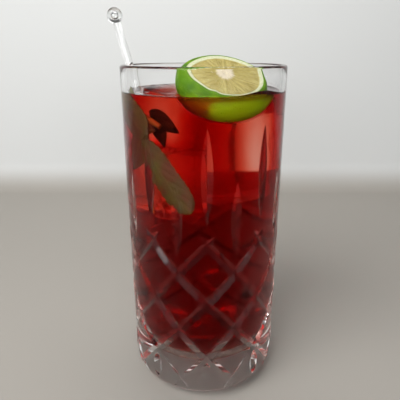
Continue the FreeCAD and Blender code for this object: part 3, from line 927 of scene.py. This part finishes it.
def build_mint():
    leaf_look, painted_shade_look = mint_material(), mint_material("mint_leaf_painted_shade", PAINTED_SHADE_FACTOR)
    for name, (length, width, blunt, *where) in LEAVES.items():
        shape, veins = leaf_shape(length, width, blunt, on_wall(*where))
        leaf = make_object(name, shape, 60)
        add_point_values(leaf, "veins", veins)
        add_point_vectors(leaf, "own_place", shape[0])
        place(leaf, "lime", painted_shade_look if name in PAINTED_SHADE_LEAVES else leaf_look)
    n = Nodes("mint_stalk")
    n.set(Base_Color=n.ramp(n.noise(n.add("ShaderNodeTexCoord").outputs["Object"], 400.0),
                            (0.4, (0.30, 0.16, 0.03)), (0.6, (0.42, 0.28, 0.06))), Roughness=0.5)
    main = [at_turn(STALK_OUT, turn, up) for turn, up in STALK_ROUTE]
    snapped = [at_turn(STUB_OUT, turn, up) for turn, up in STUB_ROUTE]
    place(make_object("mint_stalk", stalk_shape(main, STALK_RADIUS), 60), "lime", n.material)
    place(make_object("mint_stub", stalk_shape(snapped, STUB_RADIUS), 60), "lime", n.material)


# ---------------------------------------------------------------- build

build_glass()
red_drink = build_drink()
surface = build_surface()
build_ice(red_drink, surface)
build_stirrer(red_drink, surface)
finish_drink(red_drink, surface)
build_lime()
build_mint()


# ---------------------------------------------------------------- stage, light and camera

FLOOR_HEIGHT = 0.02
STAGE_HALF, STAGE_DEPTH, STAGE_BEND, STAGE_HEIGHT = 1500.0, 305.0, 30.0, 1200.0
FLOOR_COLOUR, WALL_COLOUR, HIGH_WALL_COLOUR = (0.36, 0.335, 0.30), (0.68, 0.69, 0.68), (0.05, 0.05, 0.05)
# the wall is pale behind the glass and darkens between these heights (metres)
DARKENS_FROM, DARKENS_TO = 0.23, 0.36
CAMERA_LENS, CAMERA_SENSOR, CAMERA_SHIFT = 37.8, 36.0, -0.009
CAMERA_BACK, CAMERA_ABOVE_RIM, CAMERA_DOWN = 191.5, 4.85, 19.35


def build_stage():
    """A plain pale floor that bends up into a pale backdrop, which is dark high above the glass."""
    front, bend_from = (-STAGE_HALF, FLOOR_HEIGHT), STAGE_DEPTH - STAGE_BEND
    section = [front] + line(front, (bend_from, FLOOR_HEIGHT), 6)
    section += arc(bend_from, STAGE_BEND + FLOOR_HEIGHT, STAGE_BEND, 270, 360, 24)[1:]
    section += line((STAGE_DEPTH, STAGE_BEND), (STAGE_DEPTH, STAGE_HEIGHT), 4)
    points = [Vector((x, y, z)) for y, z in section for x in (-STAGE_HALF, STAGE_HALF)]
    faces = [(2 * i, 2 * i + 1, 2 * i + 3, 2 * i + 2) for i in range(len(section) - 1)]
    stage = make_object("pale_floor", (points, faces), 60)
    n = Nodes("pale_floor")
    place_on = n.add("ShaderNodeTexCoord").outputs["Object"]
    height = n.add("ShaderNodeSeparateXYZ", Vector=place_on).outputs["Z"]
    colour = n.mix(n.ease(height, 0.0, STAGE_BEND * MM), FLOOR_COLOUR, WALL_COLOUR)
    colour = n.mix(n.ease(height, DARKENS_FROM, DARKENS_TO), colour, HIGH_WALL_COLOUR)
    n.set(Base_Color=colour, Roughness=0.8)
    stage.data.materials.append(n.material)


def area_light(name, place, target, width, height, power):
    light = bpy.data.lights.new(name, "AREA")
    light.shape = "RECTANGLE"
    light.size, light.size_y = width * MM, height * MM
    light.energy = power
    obj = bpy.data.objects.new(name, light)
    obj.location = Vector(place) * MM
    obj.rotation_euler = (Vector(target) - Vector(place)).to_track_quat("-Z", "Y").to_euler()
    bpy.context.scene.collection.objects.link(obj)


def build_light():
    world = bpy.data.worlds.new("studio")
    bpy.context.scene.world = world
    world.use_nodes = True
    nodes, links = world.node_tree.nodes, world.node_tree.links
    background = nodes["Background"]
    background.inputs["Strength"].default_value = 1.0
    direction = nodes.new("ShaderNodeTexCoord")
    parts = nodes.new("ShaderNodeSeparateXYZ")
    ramp = nodes.new("ShaderNodeValToRGB")
    links.new(direction.outputs["Generated"], parts.inputs[0])
    links.new(parts.outputs["Z"], ramp.inputs["Fac"])
    links.new(ramp.outputs["Color"], background.inputs["Color"])
    low_sky, high_sky = ramp.color_ramp.elements
    low_sky.position, low_sky.color = 0.35, (0.30, 0.31, 0.32, 1.0)
    high_sky.position, high_sky.color = 0.65, (0.04, 0.04, 0.04, 1.0)
    area_light("window", (-320, -380, 600), (0, 100, 60), 500, 500, 5.8)
    area_light("overhead", (60, 160, 600), (0, 60, 0), 500, 400, 1.3)
    area_light("fill", (0, -620, 190), (0, 0, 100), 900, 300, 1.0)
    for side in (-1, 1):
        area_light("sparkle", (side * 170, -560, 228), (0, 0, 70), 170, 100, 0.4)


def build_camera():
    camera = bpy.data.cameras.new("camera")
    camera.lens = CAMERA_LENS
    camera.sensor_width = CAMERA_SENSOR
    camera.shift_x = CAMERA_SHIFT
    camera.clip_start = 0.01
    obj = bpy.data.objects.new("camera", camera)
    obj.location = Vector((0, -CAMERA_BACK, GLASS_HEIGHT + CAMERA_ABOVE_RIM)) * MM
    obj.rotation_euler = (math.radians(90 - CAMERA_DOWN), 0, 0)
    bpy.context.scene.collection.objects.link(obj)
    bpy.context.scene.camera = obj


build_stage()
build_light()
build_camera()
scene = bpy.context.scene
scene.view_settings.view_transform = "Standard"
scene.cycles.max_bounces = 32
scene.cycles.transmission_bounces = 32
scene.cycles.glossy_bounces = 16
scene.cycles.volume_bounces = 0
scene.cycles.transparent_max_bounces = 16
